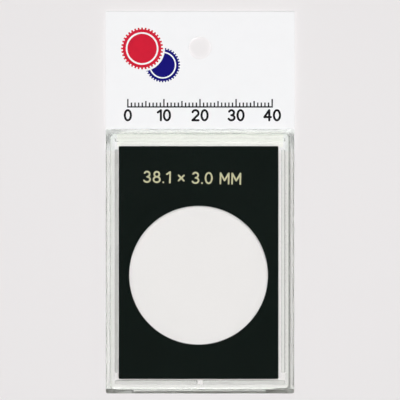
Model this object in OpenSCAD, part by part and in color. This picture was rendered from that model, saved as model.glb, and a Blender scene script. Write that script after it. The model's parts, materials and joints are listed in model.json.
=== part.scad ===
// Clear two-part display case for one coin, with a black insert and a folded hang card.
// Millimetres. The case lies on its back: +X is right and +Y is up as it is read, +Z is towards the reader.
// The origin is the middle of the whole outline, on the surface that the card lies on.

/* [Coin] */
// Diameter of the coin
coin_d = 38.1; // [24:0.1:42]
// Clearance of the coin in its hole, on the diameter
coin_clear = 0.2; // [0.1:0.05:0.6]

/* [Insert] */
// Width of the web at each side of the coin hole
side_web = 2.85; // [2:0.1:8]
// Height of the web above the coin hole
top_web = 16.45; // [6:0.1:24]
// Height of the web below the coin hole
bottom_web = 9.4; // [4:0.1:20]
// Thickness of the insert
insert_t = 3; // [2:0.1:5]
// Radius of the insert's corners in plan
insert_corner_r = 0.3; // [0.2:0.05:1]
// Radius that breaks the insert's outer edges
insert_edge_r = 0.12; // [0.05:0.01:0.18]

/* [Fits] */
// Gap between the insert and each side rail, with the insert in the middle
side_gap = 0.45; // [0.2:0.05:0.8]
// Gap between the insert and each end rail, with the insert in the middle
end_gap = 0.85; // [0.4:0.05:1.4]
// Gap that is left at the left rail, where the insert lies in its play
left_gap = 0.05; // [0.02:0.01:0.2]
// Gap that is left at the bottom rail, where the insert lies in its play
low_gap = 0.5; // [0.1:0.05:0.8]
// Gap above and below the insert
face_gap = 0.1; // [0.05:0.05:0.3]
// Gap between the rails and the cover's skirt
rail_gap = 0.15; // [0.1:0.05:0.4]
// Gap between the cover and the wall of the back shell
fit_gap = 0.1; // [0.06:0.02:0.3]
// Gap that is left between a friction pad and the wall
pad_slack = 0.02; // [0.01:0.005:0.04]
// Gap between the end of the skirt and the floor of the back shell
seat_gap = 0.05; // [0.02:0.01:0.2]

/* [Back shell] */
// Thickness of the back plate
back_t = 1.5; // [1:0.1:3]
// Thickness of the outer wall
wall_t = 1.1; // [0.9:0.05:2.5]
// Radius of the outer corners in plan
corner_r = 1.3; // [1.25:0.05:3]
// Radius round the top of the wall
rim_r = 1.05; // [0.3:0.05:1.1]
// Radius of the rear edge
rear_r = 0.4; // [0.2:0.05:0.8]
// Radius of the relief along the bottom rear edge
lift_r = 1.6; // [0.9:0.1:1.8]
// Thickness of the rails that hold the insert
rail_t = 1.05; // [0.8:0.05:2]
// Radius of the rails' top edges
rail_edge_r = 0.2; // [0.1:0.05:0.3]
// Gap between the top of the rails and the inside of the cover
rail_clear = 1; // [0.3:0.1:1.6]
// Length by which a side rail stops short of the end rails
rail_break = 2.1; // [0.5:0.1:4]
// Width of the break in the middle of the bottom rail
gate_w = 1.4; // [0.8:0.1:6]
// Radius of the rails' corners in plan
rail_corner_r = 0.35; // [0.31:0.01:0.39]
// Width of a fingernail notch at the inside of the bottom wall
notch_w = 6; // [4:0.5:9]
// Depth of a fingernail notch at the inside of the bottom wall
notch_d = 0.5; // [0.3:0.1:1]
// Slope of a fingernail notch, in degrees, down towards the outside
notch_slope = 35; // [15:1:45]
// Distance of a notch's centre from the side of the case
notch_side = 4.8; // [4:0.1:12]

/* [Front shell] */
// Thickness of the front plate
front_t = 1.5; // [1:0.1:3]
// Thickness of the skirt
skirt_t = 1.15; // [0.8:0.05:2]
// Height by which the cover stands proud of the wall
reveal = 0.5; // [0.2:0.05:0.9]
// Radius of the cover's corners in plan
cover_corner_r = 1.3; // [0.8:0.1:3]
// Radius of the cover's front edge
front_edge_r = 0.55; // [0.1:0.05:0.7]
// Radius that leads the skirt into the back shell
lead_r = 0.3; // [0.1:0.05:0.5]
// Length of a friction pad
pad_l = 8; // [3:0.5:14]
// Height of a friction pad
pad_h = 1.4; // [0.6:0.1:2]
// Distance between the two pads on a long side
pad_pitch = 36; // [20:1:44]

/* [Hang card] */
// Thickness of the board
card_t = 0.3; // [0.2:0.05:0.6]
// Width by which the card stands out past the case at each side
card_over = 0.2; // [0:0.1:4]
// Height of the card above the case
card_rise = 32.8; // [20:0.2:60]
// Gap between the two leaves of the folded card
leaf_gap = 0.2; // [0.1:0.05:0.5]
// Gap between the front leaf and the case
card_gap = 0.3; // [0.1:0.1:2]
// Length of the flap behind the case
flap_h = 6; // [4:0.5:24]
// Diameter of the hang hole
hang_d = 6.35; // [4:0.05:9]
// Distance of the hang hole's centre below the top of the card
hang_drop = 10.2; // [6:0.1:15]

/* [Adhesive strip] */
// Distance of the strip from each side of the case
strip_side = 3; // [1:0.25:14]
// Distance of the strip from the flap's edge and from the top of the case
strip_inset = 1; // [0.5:0.25:1.5]
// Thickness of the strip
strip_t = 0.1; // [0.05:0.05:0.3]

/* [Hidden] */
$fn = 96;

// Plan sizes, from the coin outwards
hole_d = coin_d + coin_clear;
insert_w = hole_d + 2 * side_web;
insert_h = hole_d + top_web + bottom_web;
pocket_w = insert_w + 2 * side_gap;
pocket_h = insert_h + 2 * end_gap;
skirt_margin = rail_t + rail_gap;
cover_margin = skirt_margin + skirt_t;
cavity_margin = cover_margin + fit_gap;
case_margin = cavity_margin + wall_t;
case_w = pocket_w + 2 * case_margin;
case_h = pocket_h + 2 * case_margin;
card_w = case_w + 2 * card_over;

// Heights above the surface
rear_z = card_t + strip_t;
floor_z = rear_z + back_t;
insert_z = floor_z + face_gap;
cover_inside_z = insert_z + insert_t + face_gap;
front_z = cover_inside_z + front_t;
rim_z = front_z - reveal;
skirt_z = floor_z + seat_gap;
rail_top_z = cover_inside_z - rail_clear;
front_leaf_z = card_t + leaf_gap;

// Places along the height
case_y = -card_rise / 2;
case_top_y = case_y + case_h / 2;
case_bottom_y = case_y - case_h / 2;
insert_x = left_gap - side_gap;
insert_y = case_y + low_gap - end_gap;
coin_y = insert_y - insert_h / 2 + bottom_web + hole_d / 2;
card_top_y = case_top_y + card_rise;
flap_y = case_top_y - flap_h;
fold_r = card_t + leaf_gap / 2;
fold_y = card_top_y - fold_r;

// Length by which a cutter runs past what it cuts
past = 1;

// Cutter that rounds the outer low corner of an edge section
module corner_cut(r) {
    difference() {
        translate([-r, -past]) square([r + past, r + past]);
        translate([-r, r]) circle(r);
    }
}

// Section through a moulded edge: depth runs outwards, and the outer corners are round
module edge_section(depth, height, low_r, high_r) {
    difference() {
        square([depth, height]);
        translate([depth, 0]) corner_cut(low_r);
        translate([depth, height]) mirror([0, 1]) corner_cut(high_r);
    }
}

// Plate with round corners in plan and round edges, made by carrying the section round it
module moulded_block(w, h, t, plan_r, low_r, high_r) {
    core_w = w - 2 * plan_r;
    core_h = h - 2 * plan_r;
    translate([-core_w / 2, -core_h / 2, 0]) cube([core_w, core_h, t]);
    for (side = [0 : 3]) {
        out = (side % 2 == 0 ? core_w : core_h) / 2;
        run = side % 2 == 0 ? core_h : core_w;
        rotate(90 * side) translate([out, run / 2, 0]) {
            rotate([90, 0, 0]) linear_extrude(run) edge_section(plan_r, t, low_r, high_r);
            rotate_extrude(angle = 90) edge_section(plan_r, t, low_r, high_r);
        }
    }
}

// Rectangle with round corners
module round_rect(w, h, r) {
    square([w - 2 * r, h], center = true);
    square([w, h - 2 * r], center = true);
    for (x = [-1, 1], y = [-1, 1])
        translate([x * (w / 2 - r), y * (h / 2 - r)]) circle(r);
}

// The insert's pocket grown by a margin, as a straight prism
module plan_prism(margin, r, t) {
    linear_extrude(t) round_rect(pocket_w + 2 * margin, pocket_h + 2 * margin, r);
}

// One rail, rooted in the back plate
module rail(w, h) {
    root = back_t / 2;
    translate([0, 0, back_t - root])
        moulded_block(w, h, rail_top_z - floor_z + root, rail_corner_r, rail_edge_r, rail_edge_r);
}

// Rails round the insert: whole at the top, split at the bottom, shorter at the sides
module rails() {
    end_w = pocket_w + 2 * rail_t;
    end_y = pocket_h / 2 + rail_t / 2;
    half_w = (end_w - gate_w) / 2;
    side_h = pocket_h - 2 * rail_break;
    side_x = pocket_w / 2 + rail_t / 2;
    translate([0, end_y, 0]) rail(end_w, rail_t);
    for (x = [-1, 1]) {
        translate([x * (gate_w + half_w) / 2, -end_y, 0]) rail(half_w, rail_t);
        translate([x * side_x, 0, 0]) rail(rail_t, side_h);
    }
}

// Round scoops across the bottom wall, for a fingernail under the cover's edge
module nail_notches() {
    scoop_r = (notch_w * notch_w / 4 + notch_d * notch_d) / (2 * notch_d);
    inner_y = case_bottom_y + wall_t + fit_gap;
    run = (wall_t + fit_gap) / cos(notch_slope);
    for (s = [-1, 1])
        translate([s * (case_w / 2 - notch_side), inner_y, rim_z - notch_d])
            rotate([90 + notch_slope, 0, 0])
                translate([0, scoop_r, -past]) cylinder(r = scoop_r, h = run + 3 * past);
}

// Round relief along the bottom rear edge, to lift the case by
module lift_edge() {
    translate([-case_w / 2 - past, case_bottom_y, rear_z])
        rotate([90, 0, 90]) linear_extrude(case_w + 2 * past) mirror([1, 0]) corner_cut(lift_r);
}

// Clear tray: back plate, outer wall and rails
module back_shell() {
    wall_h = rim_z - rear_z;
    color("gainsboro", 0.4) difference() {
        translate([0, case_y, rear_z]) {
            difference() {
                moulded_block(case_w, case_h, wall_h, corner_r, rear_r, rim_r);
                translate([0, 0, back_t])
                    plan_prism(cavity_margin, cover_corner_r + fit_gap, wall_h);
            }
            rails();
        }
        nail_notches();
        lift_edge();
    }
}

// Friction pads on the skirt, which take up the running gap
module friction_pads() {
    pad_t = skirt_t / 2 + fit_gap - pad_slack;
    pad_z = skirt_z + lead_r + pad_h;
    side_x = pocket_w / 2 + skirt_margin + skirt_t / 2 + pad_t / 2;
    end_y = pocket_h / 2 + skirt_margin + skirt_t / 2 + pad_t / 2;
    for (s = [-1, 1]) {
        for (y = [-1, 1])
            translate([s * side_x, case_y + y * pad_pitch / 2, pad_z])
                cube([pad_t, pad_l, pad_h], center = true);
        translate([0, case_y + s * end_y, pad_z]) cube([pad_l, pad_t, pad_h], center = true);
    }
}

// Clear cover: front plate and skirt, nested inside the wall of the back shell
module front_shell() {
    color("whitesmoke", 0.4) {
        difference() {
            translate([0, case_y, skirt_z])
                moulded_block(pocket_w + 2 * cover_margin, pocket_h + 2 * cover_margin,
                              front_z - skirt_z, cover_corner_r, lead_r, front_edge_r);
            translate([0, case_y, skirt_z - past])
                plan_prism(skirt_margin, rail_corner_r + rail_gap, cover_inside_z - skirt_z + past);
        }
        friction_pads();
    }
}

// Black plate with the coin hole
module coin_insert() {
    color([0.08, 0.1, 0.09]) difference() {
        translate([insert_x, insert_y, insert_z])
            moulded_block(insert_w, insert_h, insert_t, insert_corner_r, insert_edge_r, insert_edge_r);
        translate([insert_x, coin_y, insert_z - past]) cylinder(d = hole_d, h = insert_t + 2 * past);
    }
}

// Section through the folded card, along its height
module card_section() {
    translate([flap_y, 0]) square([fold_y - flap_y, card_t]);
    translate([case_top_y + card_gap, front_leaf_z])
        square([fold_y - case_top_y - card_gap, card_t]);
    translate([fold_y, fold_r]) intersection() {
        difference() {
            circle(fold_r);
            circle(leaf_gap / 2);
        }
        translate([0, -fold_r]) square([fold_r, 2 * fold_r]);
    }
}

// White board folded over at the top, with a flap behind the case
module header_card() {
    color("white") difference() {
        translate([-card_w / 2, 0, 0]) rotate([90, 0, 90]) linear_extrude(card_w) card_section();
        translate([0, card_top_y - hang_drop, -past])
            cylinder(d = hang_d, h = front_leaf_z + card_t + 2 * past);
    }
}

// Adhesive that bonds the flap to the rear of the case
module adhesive_strip() {
    strip_w = case_w - 2 * strip_side;
    color("lightyellow", 0.6) translate([-strip_w / 2, flap_y + strip_inset, card_t])
        cube([strip_w, flap_h - 2 * strip_inset, strip_t]);
}

back_shell();
front_shell();
coin_insert();
header_card();
adhesive_strip();
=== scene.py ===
"""Looks of a clear press-together coin case with a black insert and a folded hang card."""

import json
import math

import bmesh
import bpy
from mathutils import Matrix, Vector


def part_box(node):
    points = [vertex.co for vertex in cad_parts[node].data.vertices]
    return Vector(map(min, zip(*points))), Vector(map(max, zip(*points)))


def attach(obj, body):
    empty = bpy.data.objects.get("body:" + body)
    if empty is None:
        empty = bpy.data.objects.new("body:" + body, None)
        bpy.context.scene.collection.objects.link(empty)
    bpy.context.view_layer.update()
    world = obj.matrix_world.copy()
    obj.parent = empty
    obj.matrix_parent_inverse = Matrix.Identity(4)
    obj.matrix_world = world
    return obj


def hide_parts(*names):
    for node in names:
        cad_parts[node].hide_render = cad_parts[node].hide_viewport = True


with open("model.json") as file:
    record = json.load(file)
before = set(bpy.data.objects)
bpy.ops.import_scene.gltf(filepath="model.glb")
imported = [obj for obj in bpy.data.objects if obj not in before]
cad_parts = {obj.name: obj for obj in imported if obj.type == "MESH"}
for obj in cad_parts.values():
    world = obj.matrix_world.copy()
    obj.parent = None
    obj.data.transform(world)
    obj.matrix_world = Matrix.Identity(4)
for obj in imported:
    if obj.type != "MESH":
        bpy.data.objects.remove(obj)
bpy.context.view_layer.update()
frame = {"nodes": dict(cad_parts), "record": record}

bl_info = {
    "name": "Coin Display Case",
    "version": (1, 0, 0),
    "blender": (4, 5, 0),
    "location": "View3D > Sidebar > Coin Case",
    "description": "Dresses a clear coin case, its insert and its hang card",
    "category": "Object",
}

MM = 0.001
BLACK = (0, 0, 0)
WHITE = (1, 1, 1)

# Picture and stage, in pixels, millimetres of film and metres
IMAGE_PIXELS = 400
SENSOR_MM = 36.0
CLIP_START = 0.01
CLIP_END = 10.0
FLOOR_HALF = 3.0
FLOOR_DROP = 0.05 * MM
LAMP_DISTANCE = 0.8

# Name, azimuth and elevation in degrees, share of the power, size in metres, and if only gloss shows it
LAMPS = (
    ("key", 57, 87.5, 0.52, (0.1, 0.1), False),
    ("fill_right", 350, 87, 0.14, (0.12, 0.12), False),
    ("fill_left", 170, 87, 0.22, (0.12, 0.12), False),
    ("fill_bottom", 270, 86, 0.12, (0.12, 0.12), False),
    ("glint_bottom", 270, 45, 1.2, (0.5, 0.6), True),
    ("glint_top", 90, 45, 0.3, (0.5, 0.6), True),
)

# Copies of the solids
MERGE_DISTANCE = 0.001 * MM
SHARP_ANGLE = math.radians(50)
FLAT_WEIGHT = 100

# Marks on the clear shells, from 0 where they are clear to 1 where they are painted darkest, with painted
# shade and painted reflection of the dark room
EDGE_MARK = "edge"
THICK_MARK = 0.1
RIGHT, TOP, LEFT, BOTTOM = range(4)

# Parts of a normal between which a face comes to count as leaning, as not upright and as facing a side
LEANING = (0.04, 0.3)
NOT_UPRIGHT = (0.02, 0.08)
FACING = (0.2, 0.7)
WEDGE_FACING = (0.1, 0.5)

# Least parts of a normal that faces the front and of one that faces right
FRONT_LEAST = 0.02
RIGHT_LEAST = 0.1

# Print: gaps between figures by their height, ticks by the longest one and coins by their radius
STROKE_SIDES = 12
STAMP_GAP = 0.33
RULE_GAP = 0.3
RULE_STEP = 1 * MM
TICK_SHARE = 0.55
FIFTH_TICK_MORE = 0.2
TENTH_TICK_MORE = 0.25
DISC_SIDES = 96
RING_SIDES = 144
COIN_SHARES = {
    "disc": 0.7,
    "ring_inside": 0.78,
    "ring_outside": 0.92,
    "reed_circle": 0.955,
    "reed_length": 0.09,
    "reed_width": 0.085,
}


# Settings

class ClearPlasticSettings(bpy.types.PropertyGroup):
    """Finish of the two clear shells, with the shade and dark reflections that are painted on their edges.
    """

    tint: bpy.props.FloatVectorProperty(
        name="Tint", description="Colour that a flat face gives to light passing through it",
        subtype="COLOR", size=3, min=0, max=1, default=(0.985, 0.988, 0.979))
    thick_tint: bpy.props.FloatVectorProperty(
        name="Thick Tint", description="Colour that walls and rails give to light passing through them",
        subtype="COLOR", size=3, min=0, max=1, default=(0.94, 0.985, 0.935))
    # Painted reflection: marked edges are painted towards this colour, which stands for the dark room
    dark: bpy.props.FloatVectorProperty(
        name="Dark", description="Colour of a rounded edge where it shows only the dark room",
        subtype="COLOR", size=3, min=0, max=1, default=(0.035, 0.037, 0.029))
    # Painted shade and painted dark reflection on the tray's rim, by the side it faces, darkest at the
    # bottom
    rim_darkness: bpy.props.FloatVectorProperty(
        name="Rim Darkness",
        description="Darkness of the tray's rim that faces right, top, left and bottom",
        size=4, min=0, max=1, default=(0.42, 0.25, 0.2, 0.965))
    # Painted shade in the bottom corners and along the bottom rim
    corner_darkness: bpy.props.FloatVectorProperty(
        name="Corner Darkness",
        description="Darkness of the tray's bottom corners at the left and the right",
        size=2, min=0, max=1, default=(0.99, 0.93))
    bottom_darkness: bpy.props.FloatVectorProperty(
        name="Bottom Darkness",
        description="Darkness of the bottom rim where the left and the right corner's darkness ends",
        size=2, min=0, max=1, default=(0.76, 1.0))
    # Painted shade on the side rims below the top corners, and on the top rim beside the left corner
    post_darkness: bpy.props.FloatProperty(
        name="Post Darkness", description="Darkness of the side rims below the top corners",
        subtype="FACTOR", min=0, max=1, default=0.78)
    top_darkness: bpy.props.FloatProperty(
        name="Top Darkness", description="Darkness of the top rim beside the left corner",
        subtype="FACTOR", min=0, max=1, default=0.6)
    top_fade: bpy.props.FloatVectorProperty(
        name="Top Fade", description="Distances from a top corner between which its darkness fades",
        size=2, min=0, default=(3.5 * MM, 6 * MM))
    # Painted dark wedge on the cover's edge at the bottom right
    wedge_darkness: bpy.props.FloatProperty(
        name="Wedge Darkness", description="Darkness of the cover's edge at the bottom right corner",
        subtype="FACTOR", min=0, max=1, default=0.97)
    wedge_fade: bpy.props.FloatVectorProperty(
        name="Wedge Fade", description="Distances from the right side between which the wedge fades",
        size=2, min=0, default=(4.5 * MM, 6.5 * MM))
    corner_fade: bpy.props.FloatProperty(
        name="Corner Fade", description="Distance from each side over which the corners' darkness fades",
        subtype="DISTANCE", min=0, default=7.9 * MM)
    # Painted shade on the rails' edges, by the side they face
    rail_darkness: bpy.props.FloatVectorProperty(
        name="Rail Darkness",
        description="Darkness of the rails' edges that face right, top, left and bottom",
        size=4, min=0, max=1, default=(0.97, 0.2, 0.4, 0.2))
    # Painted shade on the rails and the skirt; at the left and bottom it stands for the insert's shadow
    rail_shade: bpy.props.FloatVectorProperty(
        name="Rail Shade", description="Darkness of the rails at the right, top, left and bottom",
        size=4, min=0, max=1, default=(0.3, 0.12, 0.59, 0.45))
    skirt_shade: bpy.props.FloatVectorProperty(
        name="Skirt Shade", description="Darkness of the cover's skirt at the right, top, left and bottom",
        size=4, min=0, max=1, default=(0.28, 0.12, 0.22, 0.1))
    # Painted dark line at the rim's inner edge, in the gap beside the cover
    gap_darkness: bpy.props.FloatVectorProperty(
        name="Gap Darkness",
        description="Darkness of the rim's inner edge at the right, top, left and bottom",
        size=4, min=0, max=1, default=(0.68, 0.5, 0.1, 0.1))
    gap_fade: bpy.props.FloatVectorProperty(
        name="Gap Fade", description="Distances from the outer side between which that darkness rises",
        size=2, min=0, default=(0.7 * MM, 1 * MM))
    # Painted shade and painted dark reflection on the cover's edges, by the side they face
    cover_darkness: bpy.props.FloatVectorProperty(
        name="Cover Darkness",
        description="Darkness of the cover's edges that face right, top, left and bottom",
        size=4, min=0, max=1, default=(0.8, 0.5, 0.12, 0.12))
    plate_height: bpy.props.FloatProperty(
        name="Plate Height", description="Height above which the tray is walls and rails",
        subtype="DISTANCE", min=0, default=2 * MM)
    rim_height: bpy.props.FloatProperty(
        name="Rim Height", description="Height above which the tray is its rim and the cover is its plate",
        subtype="DISTANCE", min=0, default=4.5 * MM)
    # Painted shade on the edges is made patchy at random by these two settings
    patchiness_scale: bpy.props.FloatProperty(
        name="Wear Scale", description="Number of worn places along one metre of an edge",
        min=1, default=60)
    patchiness: bpy.props.FloatVectorProperty(
        name="Patchiness", description="Least and most that wear makes of an edge's darkness",
        size=2, min=0, max=3, default=(0.9, 1.08))
    edge_roughness: bpy.props.FloatProperty(
        name="Edge Roughness", description="Roughness of the edges, walls and rails",
        subtype="FACTOR", min=0, max=1, default=0.15)
    coat_roughness: bpy.props.FloatProperty(
        name="Coat Roughness", description="Roughness of the gloss on walls and rails",
        subtype="FACTOR", min=0, max=1, default=0.25)
    corner_zone: bpy.props.FloatProperty(
        name="Corner Zone",
        description="Part of the tray's outline at each corner that is drawn out square",
        subtype="DISTANCE", min=0, default=1.3 * MM)
    corner_power: bpy.props.FloatProperty(
        name="Corner Power",
        description="How square the tray's corners are: 2 is round, and more is squarer",
        min=2, max=20, default=5)
    ior: bpy.props.FloatProperty(
        name="Index of Refraction", description="How strongly the plastic bends light",
        min=1, max=2, default=1.5)
    shine: bpy.props.FloatProperty(
        name="Shine", description="Share of the plastic's mirror reflection that is kept head on",
        subtype="FACTOR", min=0, max=1, default=0.3)


class InsertSettings(bpy.types.PropertyGroup):
    """Finish of the black insert and its stamped size."""

    colour: bpy.props.FloatVectorProperty(
        name="Colour", description="Colour of the moulded insert",
        subtype="COLOR", size=3, min=0, max=1, default=(0.003, 0.0062, 0.005))
    grain_size: bpy.props.FloatProperty(
        name="Grain Size", description="Size of the moulded grain",
        subtype="DISTANCE", min=0.00001, default=0.18 * MM)
    stamp_words: bpy.props.StringProperty(
        name="Stamp", description="Size that is stamped above the coin", default="38.1 x 3.0 MM")
    stamp_height: bpy.props.FloatProperty(
        name="Stamp Height", description="Height of the stamped characters",
        subtype="DISTANCE", min=0, default=2.9 * MM)
    stamp_stroke: bpy.props.FloatProperty(
        name="Stamp Stroke", description="Width of the stamped strokes",
        subtype="DISTANCE", min=0, default=0.46 * MM)
    stamp_rise: bpy.props.FloatProperty(
        name="Stamp Rise", description="How far the foil stands up from the insert",
        subtype="DISTANCE", min=0, default=0.025 * MM)
    stamp_above: bpy.props.FloatProperty(
        name="Stamp above Coin", description="Distance from the coin's centre up to the stamp's middle",
        subtype="DISTANCE", min=0, default=26.9 * MM)
    stamp_left: bpy.props.FloatProperty(
        name="Stamp to the Left", description="How far the stamp's middle is left of the insert's",
        subtype="DISTANCE", default=1.75 * MM)
    stamp_turn: bpy.props.FloatProperty(
        name="Stamp Turn", description="How far the stamp was put on askew",
        subtype="ANGLE", default=math.radians(-1.2))


class CardSettings(bpy.types.PropertyGroup):
    """Finish and print of the hang card."""

    colour: bpy.props.FloatVectorProperty(
        name="Colour", description="Colour of the coated board",
        subtype="COLOR", size=3, min=0, max=1, default=(0.892, 0.892, 0.902))
    red: bpy.props.FloatVectorProperty(
        name="Red", description="Colour of the red ink",
        subtype="COLOR", size=3, min=0, max=1, default=(0.62, 0.014, 0.038))
    blue: bpy.props.FloatVectorProperty(
        name="Blue", description="Colour of the blue ink",
        subtype="COLOR", size=3, min=0, max=1, default=(0.008, 0.006, 0.175))
    black: bpy.props.FloatVectorProperty(
        name="Black", description="Colour of the black ink",
        subtype="COLOR", size=3, min=0, max=1, default=(0.006, 0.006, 0.007))
    ink_rise: bpy.props.FloatProperty(
        name="Ink Rise", description="How far the ink stands up from the card",
        subtype="DISTANCE", min=0, default=0.012 * MM)
    rule_length: bpy.props.FloatProperty(
        name="Rule Length", description="Length of the printed rule, in steps of 1 mm",
        subtype="DISTANCE", min=10 * MM, default=40 * MM)
    rule_above: bpy.props.FloatProperty(
        name="Rule above Case", description="Distance from the case's top edge up to the rule's line",
        subtype="DISTANCE", min=0, default=6.2 * MM)
    tick_width: bpy.props.FloatProperty(
        name="Tick Width", description="Width of the rule's line and ticks",
        subtype="DISTANCE", min=0, default=0.38 * MM)
    tick_height: bpy.props.FloatProperty(
        name="Tick Height", description="Height of the rule's longest ticks",
        subtype="DISTANCE", min=0, default=2.2 * MM)
    figure_height: bpy.props.FloatProperty(
        name="Figure Height", description="Height of the rule's figures",
        subtype="DISTANCE", min=0, default=2.8 * MM)
    figure_stroke: bpy.props.FloatProperty(
        name="Figure Stroke", description="Width of the figures' strokes",
        subtype="DISTANCE", min=0, default=0.6 * MM)
    figure_below: bpy.props.FloatProperty(
        name="Figures below Rule", description="Distance from the rule's line down to its figures",
        subtype="DISTANCE", min=0, default=0.9 * MM)
    emblem_left: bpy.props.FloatProperty(
        name="Emblem to the Left", description="How far the printed coins' middle is left of the card's",
        subtype="DISTANCE", default=13.7 * MM)
    emblem_below: bpy.props.FloatProperty(
        name="Emblem below Fold", description="Distance from the fold down to the printed coins' middle",
        subtype="DISTANCE", default=12.2 * MM)
    red_coin: bpy.props.FloatProperty(
        name="Red Coin", description="Diameter of the printed coin in front",
        subtype="DISTANCE", min=0, default=11.6 * MM)
    blue_coin: bpy.props.FloatProperty(
        name="Blue Coin", description="Diameter of the printed coin behind",
        subtype="DISTANCE", min=0, default=9.6 * MM)
    coin_shift: bpy.props.FloatVectorProperty(
        name="Coin Shift", description="From the red coin's centre to the blue coin's",
        subtype="XYZ", size=2, default=(5.7 * MM, -4.6 * MM))
    coin_gap: bpy.props.FloatProperty(
        name="Coin Gap", description="White line where the red coin covers the blue one",
        subtype="DISTANCE", min=0, default=0.55 * MM)
    coin_reeds: bpy.props.IntProperty(
        name="Reeds", description="Number of reeds around each printed coin", min=3, default=36)


class StageSettings(bpy.types.PropertyGroup):
    """Floor, lights and camera."""

    floor_colour: bpy.props.FloatVectorProperty(
        name="Floor Colour", description="Colour of the floor",
        subtype="COLOR", size=3, min=0, max=1, default=(0.81, 0.788, 0.79))
    floor_through: bpy.props.FloatProperty(
        name="Floor Through Plastic",
        description="How much lighter the floor is where it shows through plastic",
        min=1, max=1.2, default=1.08)
    world_colour: bpy.props.FloatVectorProperty(
        name="World Colour", description="Light that comes from all around",
        subtype="COLOR", size=3, min=0, max=1, default=(0.03, 0.03, 0.03))
    world_through: bpy.props.FloatVectorProperty(
        name="World Through Plastic", description="Colour of the room where it shows through plastic",
        subtype="COLOR", size=3, min=0, max=1, default=(0.2, 0.2, 0.19))
    light_power: bpy.props.FloatProperty(
        name="Light Power", description="Power of the lamps together, less those that only gloss shows",
        unit="POWER", min=0, default=6.34)
    camera_height: bpy.props.FloatProperty(
        name="Camera Height", description="Height of the camera above the floor",
        subtype="DISTANCE", min=0.1, default=0.9)
    camera_up: bpy.props.FloatProperty(
        name="Camera Up", description="How far the camera is above the middle of the outline",
        subtype="DISTANCE", default=0.48 * MM)
    pixels_per_mm: bpy.props.FloatProperty(
        name="Pixels per Millimetre", description="Scale of the picture at the floor",
        min=1, max=10, default=3.605)


class CoinCaseSettings(bpy.types.PropertyGroup):
    """Everything that a user would change."""

    clear: bpy.props.PointerProperty(type=ClearPlasticSettings)
    insert: bpy.props.PointerProperty(type=InsertSettings)
    card: bpy.props.PointerProperty(type=CardSettings)
    stage: bpy.props.PointerProperty(type=StageSettings)


# Shader node groups

def new_group(name, inputs, outputs):
    """A shader node group with named float sockets, and its input and output nodes."""
    group = bpy.data.node_groups.new(name, "ShaderNodeTree")
    for label, value in inputs.items():
        socket = group.interface.new_socket(label, in_out="INPUT", socket_type="NodeSocketFloat")
        socket.default_value = value
    for label in outputs:
        group.interface.new_socket(label, in_out="OUTPUT", socket_type="NodeSocketFloat")
    return group, group.nodes.new("NodeGroupInput"), group.nodes.new("NodeGroupOutput")


def grain_group():
    """Fine moulded or fibrous grain: a height for bumps and a slow tone from 0 to 1."""
    found = bpy.data.node_groups.get("Fine Grain")
    if found:
        return found
    group, start, end = new_group("Fine Grain", {"Scale": 5000.0, "Tone Scale": 120.0}, ("Height", "Tone"))
    place = group.nodes.new("ShaderNodeTexCoord")
    for label, source, detail in (("Height", "Scale", 3.0), ("Tone", "Tone Scale", 4.0)):
        noise = group.nodes.new("ShaderNodeTexNoise")
        noise.inputs["Detail"].default_value = detail
        group.links.new(place.outputs["Object"], noise.inputs["Vector"])
        group.links.new(start.outputs[source], noise.inputs["Scale"])
        group.links.new(noise.outputs["Fac"], end.inputs[label])
    return group


# Materials

def new_material(name):
    """A material with its node tree and its Principled shader."""
    material = bpy.data.materials.new(name)
    material.use_nodes = True
    return material, material.node_tree, material.node_tree.nodes["Principled BSDF"]


def place_grain(tree, scale, tone_scale):
    """The grain group as a node, with its inputs set."""
    node = tree.nodes.new("ShaderNodeGroup")
    node.node_tree = grain_group()
    node.inputs["Scale"].default_value = scale
    node.inputs["Tone Scale"].default_value = tone_scale
    return node


def bump(tree, shader, height, distance):
    """Feed a height to the shader's normal."""
    node = tree.nodes.new("ShaderNodeBump")
    node.inputs["Distance"].default_value = distance
    tree.links.new(height, node.inputs["Height"])
    tree.links.new(node.outputs["Normal"], shader.inputs["Normal"])


def spread(tree, value, low, high, full=1.0):
    """Map a value from 0 to full onto low to high."""
    node = tree.nodes.new("ShaderNodeMapRange")
    node.inputs["From Max"].default_value = full
    node.inputs["To Min"].default_value = low
    node.inputs["To Max"].default_value = high
    tree.links.new(value, node.inputs["Value"])
    return node.outputs["Result"]


def two_tone(tree, value, dark, light):
    """A colour between dark and light."""
    node = tree.nodes.new("ShaderNodeMix")
    node.data_type = "RGBA"
    node.inputs["A"].default_value = (*dark, 1)
    node.inputs["B"].default_value = (*light, 1)
    tree.links.new(value, node.inputs["Factor"])
    return node.outputs["Result"]


def colour_ramp(tree, value, stops):
    """A colour that goes from stop to stop, each a position and a colour."""
    node = tree.nodes.new("ShaderNodeValToRGB")
    elements = node.color_ramp.elements
    while len(elements) < len(stops):
        elements.new(1.0)
    for element, (position, colour) in zip(elements, stops):
        element.position = position
        element.color = (*colour, 1)
    tree.links.new(value, node.inputs["Fac"])
    return node.outputs["Color"]


def shade(colour, factor):
    """The colour, darker or lighter."""
    return [c * factor for c in colour]


def grained(name, dark, light, grain_scale, tone_scale, rough, relief, constants=None):
    """A material with a fine grain, a slow change of tone, a changing roughness and some constants."""
    material, tree, shader = new_material(name)
    grain = place_grain(tree, grain_scale, tone_scale)
    tree.links.new(two_tone(tree, grain.outputs["Tone"], dark, light), shader.inputs["Base Color"])
    tree.links.new(spread(tree, grain.outputs["Tone"], *rough), shader.inputs["Roughness"])
    bump(tree, shader, grain.outputs["Height"], relief)
    for label, value in (constants or {}).items():
        shader.inputs[label].default_value = value
    return material


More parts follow.
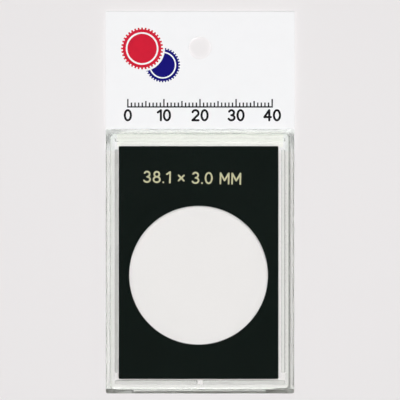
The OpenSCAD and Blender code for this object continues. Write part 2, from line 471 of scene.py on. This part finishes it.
def let_light_through(tree, shader):
    """Mix in a transparent shader for lamp and diffuse rays, so that light reaches what is behind."""
    path = tree.nodes.new("ShaderNodeLightPath")
    clear = tree.nodes.new("ShaderNodeBsdfTransparent")
    surface = shader.outputs["BSDF"]
    for ray in ("Is Diffuse Ray", "Is Shadow Ray"):
        mix = tree.nodes.new("ShaderNodeMixShader")
        tree.links.new(path.outputs[ray], mix.inputs["Fac"])
        tree.links.new(surface, mix.inputs[1])
        tree.links.new(clear.outputs["BSDF"], mix.inputs[2])
        surface = mix.outputs["Shader"]
    tree.links.new(surface, tree.nodes["Material Output"].inputs["Surface"])


def clear_plastic(settings):
    """Clear polystyrene with a rough gloss on walls and rails, which its marks make darker: painted shade
    and painted dark reflections on edges, rails and skirt, made patchy at random.
    """
    material, tree, shader = new_material("Clear Plastic")
    edge = tree.nodes.new("ShaderNodeAttribute")
    edge.attribute_name = EDGE_MARK
    # Random patches scale the marks, and the painted shade with them, as well as roughness and gloss
    patchiness = place_grain(tree, scale=settings.patchiness_scale, tone_scale=settings.patchiness_scale)
    patchy = tree.nodes.new("ShaderNodeMath")
    patchy.operation = "MULTIPLY"
    tree.links.new(edge.outputs["Fac"], patchy.inputs[0])
    tree.links.new(spread(tree, patchiness.outputs["Tone"], *settings.patchiness), patchy.inputs[1])
    stops = ((0.0, settings.tint), (THICK_MARK, settings.thick_tint), (1.0, settings.dark))
    tree.links.new(colour_ramp(tree, patchy.outputs[0], stops), shader.inputs["Base Color"])
    rough = spread(tree, patchy.outputs[0], 0.0, settings.edge_roughness, full=THICK_MARK)
    tree.links.new(rough, shader.inputs["Roughness"])
    # The gloss comes with the mark of walls and rails, and goes where the plastic is painted dark
    stops = ((0.0, BLACK), (THICK_MARK, WHITE), (2 * THICK_MARK, WHITE), (5 * THICK_MARK, BLACK))
    tree.links.new(colour_ramp(tree, patchy.outputs[0], stops), shader.inputs["Coat Weight"])
    shader.inputs["Coat Roughness"].default_value = settings.coat_roughness
    shader.inputs["Transmission Weight"].default_value = 1.0
    shader.inputs["IOR"].default_value = settings.ior
    shader.inputs["Specular Tint"].default_value = (*[settings.shine] * 3, 1)
    let_light_through(tree, shader)
    return material


def black_plastic(settings):
    """Satin black plastic with a fine moulded grain."""
    return grained(
        "Satin Black", shade(settings.colour, 0.8), shade(settings.colour, 1.25),
        grain_scale=1 / settings.grain_size, tone_scale=90.0, rough=(0.07, 0.09), relief=0.0006 * MM,
        constants={"Specular IOR Level": 0.06})


def white_board(settings):
    """White coated board with a faint fibre grain."""
    return grained(
        "White Board", shade(settings.colour, 0.985), shade(settings.colour, 1.01),
        grain_scale=3500.0, tone_scale=260.0, rough=(0.45, 0.6), relief=0.008 * MM)


def adhesive():
    """Cloudy adhesive strip."""
    return grained(
        "Adhesive", (0.93, 0.93, 0.885), (0.97, 0.97, 0.93),
        grain_scale=2200.0, tone_scale=600.0, rough=(0.35, 0.55), relief=0.01 * MM)


def gold_foil():
    """Hot-stamped pale gold, a little broken up by the grain beneath it."""
    return grained(
        "Gold Foil", (0.45, 0.43, 0.25), (0.66, 0.64, 0.42),
        grain_scale=2500.0, tone_scale=1500.0, rough=(0.45, 0.6), relief=0.004 * MM,
        constants={"Metallic": 0.2, "Specular IOR Level": 0.2})


def ink(name, colour):
    """Printed ink that takes the board's fibre grain."""
    return grained(
        name, shade(colour, 0.9), shade(colour, 1.1),
        grain_scale=3500.0, tone_scale=400.0, rough=(0.4, 0.55), relief=0.006 * MM,
        constants={"Specular IOR Level": 0.06})


# Smooth copies of the solids

def plain_mesh(holder):
    """What an object's modifiers make of it, as a mesh of its own."""
    shaped = holder.evaluated_get(bpy.context.evaluated_depsgraph_get())
    return bpy.data.meshes.new_from_object(shaped)


def square_corners(verts, box, zone, power):
    """Draw round outer corners out towards square ones, along superellipses of the given power."""
    middle = [(low + high) / 2 for low, high in zip(*box)]
    straight = [(high - low) / 2 - zone for low, high in zip(*box)]
    for vert in verts:
        past = [abs(vert.co[i] - middle[i]) - straight[i] for i in (0, 1)]
        if min(past) > 0:
            out = math.hypot(*past) / sum(p ** power for p in past) ** (1 / power)
            for i in (0, 1):
                vert.co[i] += math.copysign(past[i] * (out - 1), vert.co[i] - middle[i])


def cut_across(shape, axis, place):
    """Cut the faces along a plane across an axis, so that their marks can change there."""
    across = Vector([float(i == axis) for i in range(3)])
    parts = [*shape.verts, *shape.edges, *shape.faces]
    bmesh.ops.bisect_plane(
        shape, geom=parts, plane_co=across * place, plane_no=across, dist=MERGE_DISTANCE)


def smooth_copy(name, node, material, corner=None, cuts=()):
    """A copy of a solid whose fillets are shaded as round, which stands for the solid."""
    mesh = frame["nodes"][node].data.copy()
    shape = bmesh.new()
    shape.from_mesh(mesh)
    bmesh.ops.remove_doubles(shape, verts=shape.verts, dist=MERGE_DISTANCE)
    if corner:
        square_corners(shape.verts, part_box(node), *corner)
    for cut in cuts:
        cut_across(shape, *cut)
    for face in shape.faces:
        face.smooth = True
    for edge in shape.edges:
        edge.smooth = edge.calc_face_angle(math.pi) < SHARP_ANGLE
    shape.to_mesh(mesh)
    shape.free()
    mesh.materials.clear()
    mesh.materials.append(material)
    piece = bpy.data.objects.new(name, mesh)
    bpy.context.scene.collection.objects.link(piece)
    normals = piece.modifiers.new("Flat faces stay flat", "WEIGHTED_NORMAL")
    normals.weight = FLAT_WEIGHT
    normals.keep_sharp = True
    piece.data = plain_mesh(piece)
    piece.modifiers.remove(normals)
    return piece


def ease(value, low, high):
    """0 up to low, 1 from high, and even in between."""
    return min(max((value - low) / (high - low), 0.0), 1.0)


def edge_darkness(normal, sides):
    """Painted darkness of a rounded edge, standing for shade and the dark room that it reflects, by the
    sides that it faces, or 0 on level and upright faces.
    """
    level = math.hypot(normal.x, normal.y)
    rounded = ease(level, *LEANING) * ease(abs(normal.z), *NOT_UPRIGHT)
    if not rounded:
        return 0.0
    facing = (normal.x, normal.y, -normal.x, -normal.y)
    return rounded * max(dark * ease(part / level, *FACING) for dark, part in zip(sides, facing))


class ShellMarks:
    """Painted shade and painted dark reflections on the closed shells: how dark they are at a place, by its
    normal and by the middle of its face.
    """

    def __init__(self, settings, box):
        self.settings = settings
        self.low, self.high = box

    def reach(self, place):
        """Distances from the case's right, top, left and bottom side."""
        low, high = self.low, self.high
        return [high[0] - place.x, high[1] - place.y, place.x - low[0], place.y - low[1]]

    def side(self, place):
        """The nearest side."""
        reach = self.reach(place)
        return reach.index(min(reach))

    def from_end(self, place):
        """Distance from the nearer one of the left and the right side."""
        reach = self.reach(place)
        return min(reach[LEFT], reach[RIGHT])

    def tray(self, place, normal, middle):
        """Painted darkness of the tray: shade on edges by the side they face, and painted shade on the
        rails, most at the left and bottom, where it stands for the insert's shadow.
        """
        settings = self.settings
        if place.z >= settings.rim_height:
            return self.rim(place, normal, middle)
        edge = edge_darkness(normal, settings.rail_darkness)
        if place.z < settings.plate_height:
            return edge
        side = self.side(middle)
        if side == LEFT and normal.x > RIGHT_LEAST:
            return 0.0
        return max(settings.rail_shade[side], edge)

    def rim(self, place, normal, middle):
        """Painted shade and painted dark reflection on the tray's rim, which is more at its inner edge and
        near the corners.
        """
        settings = self.settings
        edge = edge_darkness(normal, settings.rim_darkness)
        if normal.z <= 0:
            return max(THICK_MARK, edge)
        reach = self.reach(place)
        # Painted dark line along the rim's inner edge, in the gap beside the cover
        gap = settings.gap_darkness[self.side(middle)] * ease(min(reach), *settings.gap_fade)
        least = max(THICK_MARK, gap)
        if reach[TOP] < reach[BOTTOM]:
            least = max(least, self.near_top(reach, middle))
        if self.reach(middle)[BOTTOM] < settings.corner_zone:
            if self.from_end(middle) < settings.corner_fade:
                return self.near_bottom_corner(place, int(middle.x > 0))
            if place.x > 0:
                least = settings.bottom_darkness[0]
        return max(least, edge)

    def near_top(self, reach, middle):
        """Painted shade that fades down the side rims, and from the left along the top rim."""
        settings = self.settings
        if self.reach(middle)[TOP] > settings.corner_zone:
            return settings.post_darkness * (1 - ease(reach[TOP], *settings.top_fade))
        return settings.top_darkness * (1 - ease(reach[LEFT], *settings.top_fade))

    def near_bottom_corner(self, place, right):
        """Painted shade that changes from a bottom corner inward."""
        settings = self.settings
        corner = settings.corner_darkness[right]
        inward = ease(self.from_end(place), settings.corner_zone, settings.corner_fade)
        return corner + inward * (settings.bottom_darkness[right] - corner)

    def cover(self, place, normal, middle):
        """Painted shade of the cover, with a painted dark wedge along its edge at the bottom right."""
        settings = self.settings
        skirt = settings.skirt_shade[self.side(middle)] if place.z < settings.rim_height else 0.0
        wedge = 0.0
        if normal.z > FRONT_LEAST and place.x > 0:
            wedge = settings.wedge_darkness * (1 - ease(self.from_end(place), *settings.wedge_fade))
            wedge *= ease(-normal.y, *WEDGE_FACING)
        return max(skirt, wedge, edge_darkness(normal, settings.cover_darkness))


def mark_edges(mesh, darkness):
    """Store the painted shade of each face at its corners, by their place, their normal and the face's
    middle.
    """
    marks = mesh.attributes.new(EDGE_MARK, "FLOAT", "CORNER").data
    for face in mesh.polygons:
        for vertex, corner in zip(face.vertices, face.loop_indices):
            normal = mesh.corner_normals[corner].vector
            marks[corner].value = darkness(mesh.vertices[vertex].co, normal, face.center)


def keep(piece, body, slot, *nodes):
    """Let a finished piece ride on its body and stand for solids, whose parts it hides. The slot is not
    used.
    """
    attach(piece, body)
    if nodes:
        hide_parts(*nodes)


# Geometry node trees

class Tree:
    """A geometry node tree with named inputs, under construction."""

    def __init__(self, name, **inputs):
        self.group = bpy.data.node_groups.new(name, "GeometryNodeTree")
        self.group.interface.new_socket("Geometry", in_out="INPUT", socket_type="NodeSocketGeometry")
        self.group.interface.new_socket("Geometry", in_out="OUTPUT", socket_type="NodeSocketGeometry")
        for label, kind in inputs.items():
            label = label.replace("_", " ").title()
            self.group.interface.new_socket(label, in_out="INPUT", socket_type=f"NodeSocket{kind}")
        self.start = self.group.nodes.new("NodeGroupInput")
        self.end = self.group.nodes.new("NodeGroupOutput")

    def add(self, kind, options=None, **inputs):
        """A node with its options, and its inputs set to values or linked to sockets."""
        node = self.group.nodes.new(kind)
        for label, value in (options or {}).items():
            setattr(node, label, value)
        for label, value in inputs.items():
            self.feed(node.inputs[label.replace("_", " ").title()], value)
        return node

    def feed(self, socket, value):
        """Set or link one input."""
        if isinstance(value, bpy.types.NodeSocket):
            self.group.links.new(value, socket)
        else:
            socket.default_value = value

    def sum(self, operation, a, b=0.0):
        """The result of a Math node."""
        node = self.group.nodes.new("ShaderNodeMath")
        node.operation = operation
        self.feed(node.inputs[0], a)
        self.feed(node.inputs[1], b)
        return node.outputs[0]

    def vector(self, x=0.0, y=0.0, z=0.0):
        """A vector from its parts."""
        return self.add("ShaderNodeCombineXYZ", x=x, y=y, z=z).outputs[0]

    def join(self, *parts):
        """Several geometries as one."""
        node = self.group.nodes.new("GeometryNodeJoinGeometry")
        for part in parts:
            self.group.links.new(part, node.inputs[0])
        return node.outputs[0]

    def less(self, part, tool):
        """A part with a tool cut out of it."""
        options = {"operation": "DIFFERENCE", "solver": "EXACT"}
        node = self.add("GeometryNodeMeshBoolean", options, mesh_1=part)
        self.group.links.new(tool, node.inputs["Mesh 2"])
        return node.outputs[0]

    def finish(self, geometry):
        """End in plain geometry with the tree's material."""
        real = self.add("GeometryNodeRealizeInstances", geometry=geometry)
        dressed = self.add("GeometryNodeSetMaterial", geometry=real.outputs[0],
                           material=self.start.outputs["Material"])
        self.group.links.new(dressed.outputs[0], self.end.inputs[0])
        return self.group


def stroke_tree():
    """Flat rounded strokes along the edges of a mesh, as a stamp or a pen leaves them."""
    found = bpy.data.node_groups.get("Strokes")
    if found:
        return found
    tree = Tree("Strokes", width="Float", rise="Float", material="Material")
    radius = tree.sum("MULTIPLY", tree.start.outputs["Width"], 0.5)
    paths = tree.add("GeometryNodeMeshToCurve", mesh=tree.start.outputs["Geometry"])
    profile = tree.add("GeometryNodeCurvePrimitiveCircle", resolution=STROKE_SIDES, radius=radius)
    tubes = tree.add("GeometryNodeCurveToMesh", curve=paths.outputs[0], profile_curve=profile.outputs[0])
    ball = tree.add("GeometryNodeMeshUVSphere", segments=STROKE_SIDES, rings=STROKE_SIDES // 2,
                    radius=radius)
    ends = tree.add("GeometryNodeInstanceOnPoints", points=tree.start.outputs["Geometry"],
                    instance=ball.outputs[0])
    flat = tree.sum("DIVIDE", tree.start.outputs["Rise"], radius)
    pressed = tree.add("GeometryNodeTransform", geometry=tree.join(tubes.outputs[0], ends.outputs[0]),
                       scale=tree.vector(1.0, 1.0, flat))
    smooth = tree.add("GeometryNodeSetShadeSmooth", geometry=pressed.outputs[0])
    return tree.finish(smooth.outputs[0])


def tick_tree():
    """A row of upright ticks on a line, every fifth and tenth longer."""
    tree = Tree("Rule Ticks", count="Int", step="Float", width="Float", tick="Float", rise="Float",
                material="Material")
    given = tree.start.outputs
    points = tree.add("GeometryNodeMeshLine", {"mode": "OFFSET"}, count=given["Count"],
                      offset=tree.vector(x=given["Step"]))
    index = tree.add("GeometryNodeInputIndex").outputs[0]
    fives = tree.sum("LESS_THAN", tree.sum("MODULO", index, 5.0), 0.5)
    tens = tree.sum("LESS_THAN", tree.sum("MODULO", index, 10.0), 0.5)
    share = tree.sum("ADD", TICK_SHARE, tree.sum("MULTIPLY", FIFTH_TICK_MORE, fives))
    share = tree.sum("ADD", share, tree.sum("MULTIPLY", TENTH_TICK_MORE, tens))
    thick = tree.sum("MULTIPLY", given["Rise"], 2.0)
    bar = tree.add("GeometryNodeMeshCube", size=tree.vector(given["Width"], given["Tick"], thick))
    raised = tree.add("GeometryNodeTransform", geometry=bar.outputs[0],
                      translation=tree.vector(y=tree.sum("MULTIPLY", given["Tick"], 0.5)))
    ticks = tree.add("GeometryNodeInstanceOnPoints", points=points.outputs[0], instance=raised.outputs[0],
                     scale=tree.vector(1.0, share, 1.0))
    run = tree.sum("MULTIPLY", tree.sum("SUBTRACT", given["Count"], 1.0), given["Step"])
    line = tree.add("GeometryNodeMeshCube",
                    size=tree.vector(tree.sum("ADD", run, given["Width"]), given["Width"], thick))
    laid = tree.add("GeometryNodeTransform", geometry=line.outputs[0],
                    translation=tree.vector(x=tree.sum("MULTIPLY", run, 0.5)))
    return tree.finish(tree.join(ticks.outputs[0], laid.outputs[0]))


def coin_tree():
    """A printed coin: a disc, a ring around it and reeds outside the ring, less a disc that covers it."""
    found = bpy.data.node_groups.get("Printed Coin")
    if found:
        return found
    tree = Tree("Printed Coin", radius="Float", reeds="Int", rise="Float", cover_radius="Float",
                cover_place="Vector", material="Material")
    given = tree.start.outputs
    thick = tree.sum("MULTIPLY", given["Rise"], 2.0)
    deep = tree.sum("MULTIPLY", thick, 2.0)
    share = {label: tree.sum("MULTIPLY", given["Radius"], part) for label, part in COIN_SHARES.items()}

    def plate(sides, radius, depth):
        node = tree.add("GeometryNodeMeshCylinder", vertices=sides, radius=radius, depth=depth)
        return node.outputs[0]

    disc = plate(DISC_SIDES, share["disc"], thick)
    ring = plate(RING_SIDES, share["ring_outside"], thick)
    ring = tree.less(ring, plate(DISC_SIDES, share["ring_inside"], deep))
    around = tree.add("GeometryNodeMeshCircle", vertices=given["Reeds"], radius=share["reed_circle"])
    outward = tree.add("GeometryNodeInputPosition").outputs[0]
    turn = tree.add("FunctionNodeAlignRotationToVector", {"axis": "X"}, vector=outward)
    reed_size = tree.vector(share["reed_length"], share["reed_width"], thick)
    bar = tree.add("GeometryNodeMeshCube", size=reed_size)
    placed = tree.add("GeometryNodeInstanceOnPoints", points=around.outputs[0], instance=bar.outputs[0],
                      rotation=turn.outputs[0])
    reeds = tree.add("GeometryNodeRealizeInstances", geometry=placed.outputs[0]).outputs[0]
    cover = plate(RING_SIDES, given["Cover Radius"], deep)
    moved = tree.add("GeometryNodeTransform", geometry=cover, translation=given["Cover Place"]).outputs[0]
    return tree.finish(tree.join(*[tree.less(part, moved) for part in (disc, ring, reeds)]))


def grow(name, tree, place, points=(), edges=(), **inputs):
    """Run a tree on a mesh of points and edges, and keep the result as a plain mesh at its place."""
    seed = bpy.data.meshes.new(name)
    seed.from_pydata(points, edges, [])
    holder = bpy.data.objects.new(name, seed)
    bpy.context.scene.collection.objects.link(holder)
    modifier = holder.modifiers.new("Shape", "NODES")
    modifier.node_group = tree
    for item in tree.interface.items_tree:
        label = item.name.replace(" ", "_").lower()
        if item.in_out == "INPUT" and label in inputs:
            modifier[item.identifier] = inputs.pop(label)
    if inputs:
        raise ValueError(f"{tree.name} has no input {sorted(inputs)}")
    mesh = plain_mesh(holder)
    holder.modifiers.remove(modifier)
    if not mesh.polygons:
        raise RuntimeError(f"{name} came out empty")
    mesh.transform(place)
    holder.data = mesh
    return holder


# Stroke figures, one unit high

def arc(x, y, rx, ry, start, end, steps=14):
    """Points on an ellipse from one angle to another, in degrees."""
    turns = [math.radians(start + (end - start) * i / steps) for i in range(steps + 1)]
    return [(x + rx * math.cos(t), y + ry * math.sin(t)) for t in turns]


FIGURES = {
    "0": (0.6, [arc(0.3, 0.5, 0.3, 0.5, 0, 360, 28)]),
    "1": (0.3, [[(0.0, 0.78), (0.3, 1.0), (0.3, 0.0)]]),
    "2": (0.6, [arc(0.3, 0.7, 0.3, 0.3, 160, -35) + [(0.0, 0.0), (0.6, 0.0)]]),
    "3": (0.58, [arc(0.28, 0.75, 0.25, 0.25, 155, -90) + arc(0.28, 0.25, 0.3, 0.25, 90, -155)]),
    "4": (0.64, [[(0.48, 0.0), (0.48, 1.0), (0.0, 0.32), (0.64, 0.32)]]),
    "8": (0.6, [arc(0.3, 0.76, 0.24, 0.24, -90, 270, 24), arc(0.3, 0.26, 0.3, 0.26, 90, 450, 24)]),
    ".": (0.0, [[(0.0, 0.0), (0.0, 0.02)]]),
    "x": (0.5, [[(0.0, 0.2), (0.5, 0.7)], [(0.0, 0.7), (0.5, 0.2)]]),
    "M": (0.78, [[(0.0, 0.0), (0.0, 1.0), (0.39, 0.3), (0.78, 1.0), (0.78, 0.0)]]),
    " ": (0.16, []),
}


def write(words, height, gap):
    """Points, edges and width of a line of stroke figures that starts at the origin."""
    points, edges, x = [], [], 0.0
    for figure in words:
        width, strokes = FIGURES[figure]
        for stroke in strokes:
            for ends in zip(stroke, stroke[1:]):
                edges.append((len(points), len(points) + 1))
                points += [((x + px) * height, py * height, 0) for px, py in ends]
        x += width + gap
    return points, edges, (x - gap) * height


# Operators

class CoinCaseOperator(bpy.types.Operator):
    """What the operators share."""

    bl_options = {"REGISTER", "UNDO"}

    @property
    def settings(self):
        """The settings on the scene."""
        return bpy.context.scene.coin_case


class COINCASE_OT_shells(CoinCaseOperator):
    """Give the back and front shells their clear plastic, with painted shade on their edges"""

    bl_idname = "coin_case.shells"
    bl_label = "Clear Shells"

    def execute(self, context):
        settings = self.settings.clear
        low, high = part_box("back_shell")
        marks = ShellMarks(settings, (low, high))
        material = clear_plastic(settings)
        cuts = [(1, high[1] - fade) for fade in settings.top_fade]
        cuts += [(0, low[0] + fade) for fade in settings.top_fade]
        corner = (settings.corner_zone, settings.corner_power)
        tray = smooth_copy("clear_tray", "back_shell", material, corner, cuts)
        mark_edges(tray.data, marks.tray)
        keep(tray, "tray", "clear_plastic", "back_shell")
        cuts = [(0, high[0] - fade) for fade in settings.wedge_fade]
        cover = smooth_copy("clear_cover", "front_shell", material, cuts=cuts)
        mark_edges(cover.data, marks.cover)
        keep(cover, "cover", "clear_plastic", "front_shell")
        return {"FINISHED"}


class COINCASE_OT_insert(CoinCaseOperator):
    """Give the insert its satin black plastic"""

    bl_idname = "coin_case.insert"
    bl_label = "Insert"

    def execute(self, context):
        material = black_plastic(self.settings.insert)
        keep(smooth_copy("black_insert", "coin_insert", material), "insert", "black_plastic", "coin_insert")
        return {"FINISHED"}


class COINCASE_OT_stamp(CoinCaseOperator):
    """Stamp the coin's size on the insert in gold foil"""

    bl_idname = "coin_case.stamp"
    bl_label = "Gold Stamp"

    def execute(self, context):
        settings = self.settings.insert
        points, edges, width = write(settings.stamp_words, settings.stamp_height, STAMP_GAP)
        seat = next(m for m in frame["record"]["mounts"] if m["name"] == "coin_seat")["pos_m"]
        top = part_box("coin_insert")[1][2]
        middle = Matrix.Translation((-width / 2, -settings.stamp_height / 2, 0))
        place = Matrix.Translation((seat[0] - settings.stamp_left, seat[1] + settings.stamp_above, top))
        place = place @ Matrix.Rotation(settings.stamp_turn, 4, "Z") @ middle
        piece = grow("gold_stamp", stroke_tree(), place, points, edges, width=settings.stamp_stroke,
                     rise=settings.stamp_rise, material=gold_foil())
        keep(piece, "insert", "gold_foil")
        return {"FINISHED"}


class COINCASE_OT_card(CoinCaseOperator):
    """Give the hang card its board and the strip its adhesive"""

    bl_idname = "coin_case.card"
    bl_label = "Hang Card"

    def execute(self, context):
        material = white_board(self.settings.card)
        keep(smooth_copy("folded_card", "header_card", material), "tray", "white_board", "header_card")
        keep(smooth_copy("bond", "adhesive_strip", adhesive()), "tray", "adhesive", "adhesive_strip")
        return {"FINISHED"}


class COINCASE_OT_rule(CoinCaseOperator):
    """Print a rule with plain figures above the case"""

    bl_idname = "coin_case.rule"
    bl_label = "Printed Rule"

    def execute(self, context):
        settings = self.settings.card
        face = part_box("header_card")[1][2]
        line_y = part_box("back_shell")[1][1] + settings.rule_above
        left = -settings.rule_length / 2
        black = ink("Black Ink", settings.black)
        ticks = grow("rule_ticks", tick_tree(), Matrix.Translation((left, line_y, face)),
                     count=round(settings.rule_length / RULE_STEP) + 1, step=RULE_STEP,
                     width=settings.tick_width, tick=settings.tick_height,
                     rise=settings.ink_rise, material=black)
        keep(ticks, "tray", "black_ink")
        points, edges = [], []
        for tens in range(round(settings.rule_length / (10 * RULE_STEP)) + 1):
            figure_points, figure_edges, width = write(str(10 * tens), settings.figure_height, RULE_GAP)
            shift = tens * 10 * RULE_STEP - width / 2
            edges += [(a + len(points), b + len(points)) for a, b in figure_edges]
            points += [(x + shift, y, z) for x, y, z in figure_points]
        below = line_y - settings.figure_height - settings.figure_below
        figures = grow("rule_figures", stroke_tree(), Matrix.Translation((left, below, face)),
                       points, edges, width=settings.figure_stroke, rise=settings.ink_rise, material=black)
        keep(figures, "tray", "black_ink")
        return {"FINISHED"}


class COINCASE_OT_emblem(CoinCaseOperator):
    """Print a red and a blue coin beside the hang hole"""

    bl_idname = "coin_case.emblem"
    bl_label = "Printed Coins"

    def execute(self, context):
        settings = self.settings.card
        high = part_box("header_card")[1]
        middle = Vector((-settings.emblem_left, high[1] - settings.emblem_below, high[2]))
        big, small = settings.red_coin / 2, settings.blue_coin / 2
        shift = Vector((*settings.coin_shift, 0))
        aside = Vector((1, -1, 0)) * (small - big) / 2
        red_centre = middle - shift / 2 - aside
        far = Vector((10 * settings.red_coin, 0, 0))
        for name, colour, radius, centre, covered in (
            ("red", settings.red, big, red_centre, far),
            ("blue", settings.blue, small, red_centre + shift, -shift),
        ):
            piece = grow(f"printed_coin_{name}", coin_tree(), Matrix.Translation(centre),
                         radius=radius, reeds=settings.coin_reeds, rise=settings.ink_rise,
                         cover_radius=big + settings.coin_gap, cover_place=covered,
                         material=ink(f"{name.title()} Ink", colour))
            keep(piece, "tray", f"{name}_ink")
        return {"FINISHED"}


class COINCASE_OT_stage(CoinCaseOperator):
    """Build the floor, the lamps, the world and the camera"""

    bl_idname = "coin_case.stage"
    bl_label = "Stage"

    def execute(self, context):
        settings = self.settings.stage
        self.build_floor(settings)
        self.build_lamps(settings)
        self.build_world(settings)
        self.build_camera(settings)
        context.scene.view_settings.view_transform = "Standard"
        return {"FINISHED"}

    def build_floor(self, settings):
        """A wide pale floor just below the card."""
        half = FLOOR_HALF
        mesh = bpy.data.meshes.new("floor")
        corners = [(-half, -half, 0), (half, -half, 0), (half, half, 0), (-half, half, 0)]
        mesh.from_pydata(corners, [], [(0, 1, 2, 3)])
        floor = bpy.data.objects.new("floor", mesh)
        bpy.context.scene.collection.objects.link(floor)
        floor.location.z = -FLOOR_DROP
        material, tree, shader = new_material("Floor")
        path = tree.nodes.new("ShaderNodeLightPath")
        through = shade(settings.floor_colour, settings.floor_through)
        colour = two_tone(tree, path.outputs["Is Transmission Ray"], settings.floor_colour, through)
        tree.links.new(colour, shader.inputs["Base Color"])
        shader.inputs["Roughness"].default_value = 0.9
        shader.inputs["Specular IOR Level"].default_value = 0.0
        mesh.materials.append(material)

    def build_lamps(self, settings):
        """Lamps around and above the case, each turned to its middle."""
        for name, azimuth, elevation, share, size, glint in LAMPS:
            lamp = bpy.data.lights.new(name, "AREA")
            lamp.shape = "RECTANGLE"
            lamp.size, lamp.size_y = size
            lamp.energy = settings.light_power * share
            holder = bpy.data.objects.new(name, lamp)
            a, e = math.radians(azimuth), math.radians(elevation)
            away = Vector((math.cos(a) * math.cos(e), math.sin(a) * math.cos(e), math.sin(e)))
            holder.location = away * LAMP_DISTANCE
            holder.rotation_euler = away.to_track_quat("Z", "Y").to_euler()
            holder.visible_transmission = False
            holder.visible_glossy = glint
            holder.visible_diffuse = not glint
            bpy.context.scene.collection.objects.link(holder)

    def build_world(self, settings):
        """A dark room, which is paler where it shows through plastic."""
        world = bpy.data.worlds.new("Studio")
        world.use_nodes = True
        tree = world.node_tree
        through = tree.nodes.new("ShaderNodeLightPath").outputs["Is Transmission Ray"]
        colour = two_tone(tree, through, settings.world_colour, settings.world_through)
        tree.links.new(colour, tree.nodes["Background"].inputs["Color"])
        bpy.context.scene.world = world

    def build_camera(self, settings):
        """A camera that looks straight down, at the scale of the picture."""
        camera = bpy.data.cameras.new("camera")
        camera.sensor_width = SENSOR_MM
        camera.lens = settings.pixels_per_mm * SENSOR_MM * settings.camera_height / MM / IMAGE_PIXELS
        camera.clip_start = CLIP_START
        camera.clip_end = CLIP_END
        holder = bpy.data.objects.new("camera", camera)
        holder.location = (0, settings.camera_up, settings.camera_height)
        bpy.context.scene.collection.objects.link(holder)
        bpy.context.scene.camera = holder


class COINCASE_PT_sidebar(bpy.types.Panel):
    """The case's operators"""

    bl_idname = "COINCASE_PT_sidebar"
    bl_label = "Coin Case"
    bl_space_type = "VIEW_3D"
    bl_region_type = "UI"
    bl_category = "Coin Case"

    def draw(self, context):
        for operator in OPERATORS:
            self.layout.operator(operator.bl_idname)


SETTINGS = (
    ClearPlasticSettings,
    InsertSettings,
    CardSettings,
    StageSettings,
    CoinCaseSettings,
)
OPERATORS = (
    COINCASE_OT_shells,
    COINCASE_OT_insert,
    COINCASE_OT_stamp,
    COINCASE_OT_card,
    COINCASE_OT_rule,
    COINCASE_OT_emblem,
    COINCASE_OT_stage,
)
CLASSES = (*SETTINGS, *OPERATORS, COINCASE_PT_sidebar)


def register():
    """Register the classes and put the settings on the scene."""
    for cls in CLASSES:
        bpy.utils.register_class(cls)
    bpy.types.Scene.coin_case = bpy.props.PointerProperty(type=CoinCaseSettings)


def unregister():
    """Take the settings and the classes away again."""
    del bpy.types.Scene.coin_case
    for cls in reversed(CLASSES):
        bpy.utils.unregister_class(cls)


def main():
    """Build every piece in order."""
    register()
    bpy.ops.coin_case.shells()
    bpy.ops.coin_case.insert()
    bpy.ops.coin_case.stamp()
    bpy.ops.coin_case.card()
    bpy.ops.coin_case.rule()
    bpy.ops.coin_case.emblem()
    bpy.ops.coin_case.stage()


if __name__ == "__main__":
    main()
